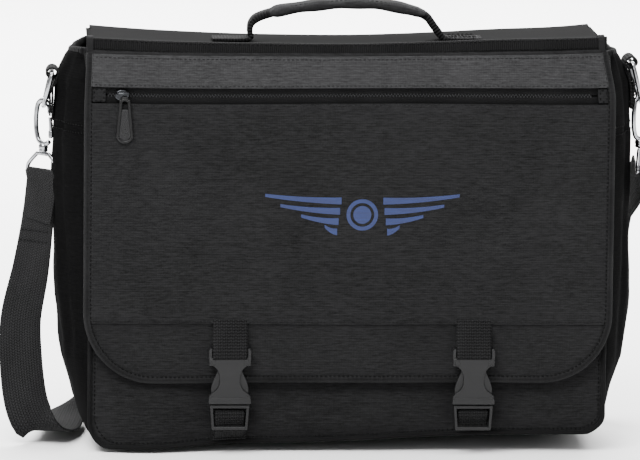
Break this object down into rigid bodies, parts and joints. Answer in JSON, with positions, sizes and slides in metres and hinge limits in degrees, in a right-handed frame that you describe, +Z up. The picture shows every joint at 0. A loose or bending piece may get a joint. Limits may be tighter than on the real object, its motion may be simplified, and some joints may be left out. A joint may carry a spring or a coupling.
{
  "type": "flight bag",
  "caption": "Black soft-sided flight bag with a full-width front flap, zip pocket, top handle, side-release buckles and a shoulder strap on snap hooks.",
  "frame": {"origin": "middle of the bottom panel, on the surface the bag stands on", "axes": "+X across the width, -Y out of the front flap, +Z up"},
  "size_m": [0.4808, 0.179, 0.3209],
  "materials": {
    "body_fabric": "charcoal woven polyester",
    "flap_fabric": "charcoal woven polyester, fine horizontal slub",
    "lining": "plain black lining",
    "webbing": "ribbed black webbing",
    "binding": "folded edge tape",
    "board": "wrapped stiffener",
    "buckle_plastic": "satin acetal",
    "pull_plastic": "moulded",
    "zip_coil": "nylon coil",
    "chrome": "bright plate",
    "gunmetal": "dark plated"
  },
  "bodies": {
    "bag": {"back_panel": "body_fabric", "back_piping": "body_fabric", "base_board": "board", "bottom_panel": "body_fabric", "center_divider": "lining", "front_panel": "body_fabric", "front_piping": "body_fabric", "left_corner": "body_fabric", "left_gusset": "body_fabric", "right_corner": "body_fabric", "right_gusset": "body_fabric", "organizer_pocket": "lining", "left_ring_tab": "webbing", "right_ring_tab": "webbing", "left_d_ring": "chrome", "right_d_ring": "chrome", "left_lower_strap": "webbing", "right_lower_strap": "webbing", "left_buckle_insert": "buckle_plastic", "right_buckle_insert": "buckle_plastic", "left_hook_body": "chrome", "right_hook_body": "chrome", "left_hook_loop": "chrome", "right_hook_loop": "chrome", "shoulder_strap": "webbing", "strap_adjuster": "buckle_plastic"},
    "flap_top": {"flap_top_panel": "flap_fabric", "flap_front_band": "webbing", "left_handle_foot": "webbing", "right_handle_foot": "webbing"},
    "handle": {"handle_webbing": "webbing", "handle_grip": "flap_fabric"},
    "flap_front": {"flap_binding": "binding", "flap_lining": "lining", "flap_upper_panel": "flap_fabric", "flap_pocket_panel": "flap_fabric", "flap_lower_panel": "flap_fabric", "zip_tape_upper": "webbing", "zip_tape_lower": "webbing", "zip_coil": "zip_coil", "left_zip_end": "flap_fabric", "right_zip_end": "flap_fabric", "left_upper_strap": "webbing", "right_upper_strap": "webbing"},
    "zip_slider": {"zip_slider": "gunmetal"},
    "zip_pull": {"zip_pull": "pull_plastic"},
    "left_socket": {"left_buckle_socket": "buckle_plastic"},
    "right_socket": {"right_buckle_socket": "buckle_plastic"},
    "left_prong_a": {"left_buckle_prong_a": "buckle_plastic"},
    "left_prong_b": {"left_buckle_prong_b": "buckle_plastic"},
    "right_prong_a": {"right_buckle_prong_a": "buckle_plastic"},
    "right_prong_b": {"right_buckle_prong_b": "buckle_plastic"},
    "left_gate": {"left_hook_gate": "chrome"},
    "right_gate": {"right_hook_gate": "chrome"}
  },
  "joints": [
    {"name": "flap_top_hinge", "type": "hinge", "parent": "bag", "child": "flap_top", "pos_m": [0, 0.0575, 0.287], "axis": [1, 0, 0], "range_deg": [-150, 0]},
    {"name": "flap_fold", "type": "hinge", "parent": "flap_top", "child": "flap_front", "pos_m": [0, -0.0646, 0.2858], "axis": [1, 0, 0], "range_deg": [-100, 0]},
    {"name": "handle_fold", "type": "hinge", "parent": "flap_top", "child": "handle", "pos_m": [0, 0, 0.297], "axis": [1, 0, 0], "range_deg": [-38, 38]},
    {"name": "zip_slide", "type": "slide", "parent": "flap_front", "child": "zip_slider", "axis": [1, 0, 0], "range_m": [0, 0.336]},
    {"name": "zip_pull_hinge", "type": "hinge", "parent": "zip_slider", "child": "zip_pull", "pos_m": [-0.162, -0.0671, 0.2532], "axis": [1, 0, 0], "range_deg": [-160, 0]},
    {"name": "left_buckle_release", "type": "slide", "parent": "flap_front", "child": "left_socket", "axis": [0, 0, 1], "range_m": [0, 0.014], "deforming": ["left_upper_strap"]},
    {"name": "left_prong_a_squeeze", "type": "hinge", "parent": "bag", "child": "left_prong_a", "pos_m": [-0.0966, -0.0683, 0.0333], "axis": [0, 1, 0], "range_deg": [0, 8], "stiffness_Nm_per_rad": 0.05},
    {"name": "left_prong_b_squeeze", "type": "hinge", "parent": "bag", "child": "left_prong_b", "pos_m": [-0.0794, -0.0683, 0.0333], "axis": [0, -1, 0], "range_deg": [0, 8], "stiffness_Nm_per_rad": 0.05},
    {"name": "right_buckle_release", "type": "slide", "parent": "flap_front", "child": "right_socket", "axis": [0, 0, 1], "range_m": [0, 0.014], "deforming": ["right_upper_strap"]},
    {"name": "right_prong_a_squeeze", "type": "hinge", "parent": "bag", "child": "right_prong_a", "pos_m": [0.0794, -0.0683, 0.0333], "axis": [0, 1, 0], "range_deg": [0, 8], "stiffness_Nm_per_rad": 0.05},
    {"name": "right_prong_b_squeeze", "type": "hinge", "parent": "bag", "child": "right_prong_b", "pos_m": [0.0966, -0.0683, 0.0333], "axis": [0, -1, 0], "range_deg": [0, 8], "stiffness_Nm_per_rad": 0.05},
    {"name": "left_gate_hinge", "type": "hinge", "parent": "bag", "child": "left_gate", "pos_m": [-0.21484, -0.00531, 0.2175], "axis": [-0.7174, -0.6967, 0], "range_deg": [0, 22], "stiffness_Nm_per_rad": 0.02},
    {"name": "right_gate_hinge", "type": "hinge", "parent": "bag", "child": "right_gate", "pos_m": [0.22505, 0.00541, 0.2225], "axis": [0.7311, -0.6822, 0], "range_deg": [0, 22], "stiffness_Nm_per_rad": 0.02}
  ],
  "couplings": [
    {"joint": "left_prong_b_squeeze", "follows": "left_prong_a_squeeze", "ratio": 1},
    {"joint": "right_prong_b_squeeze", "follows": "right_prong_a_squeeze", "ratio": 1}
  ]
}
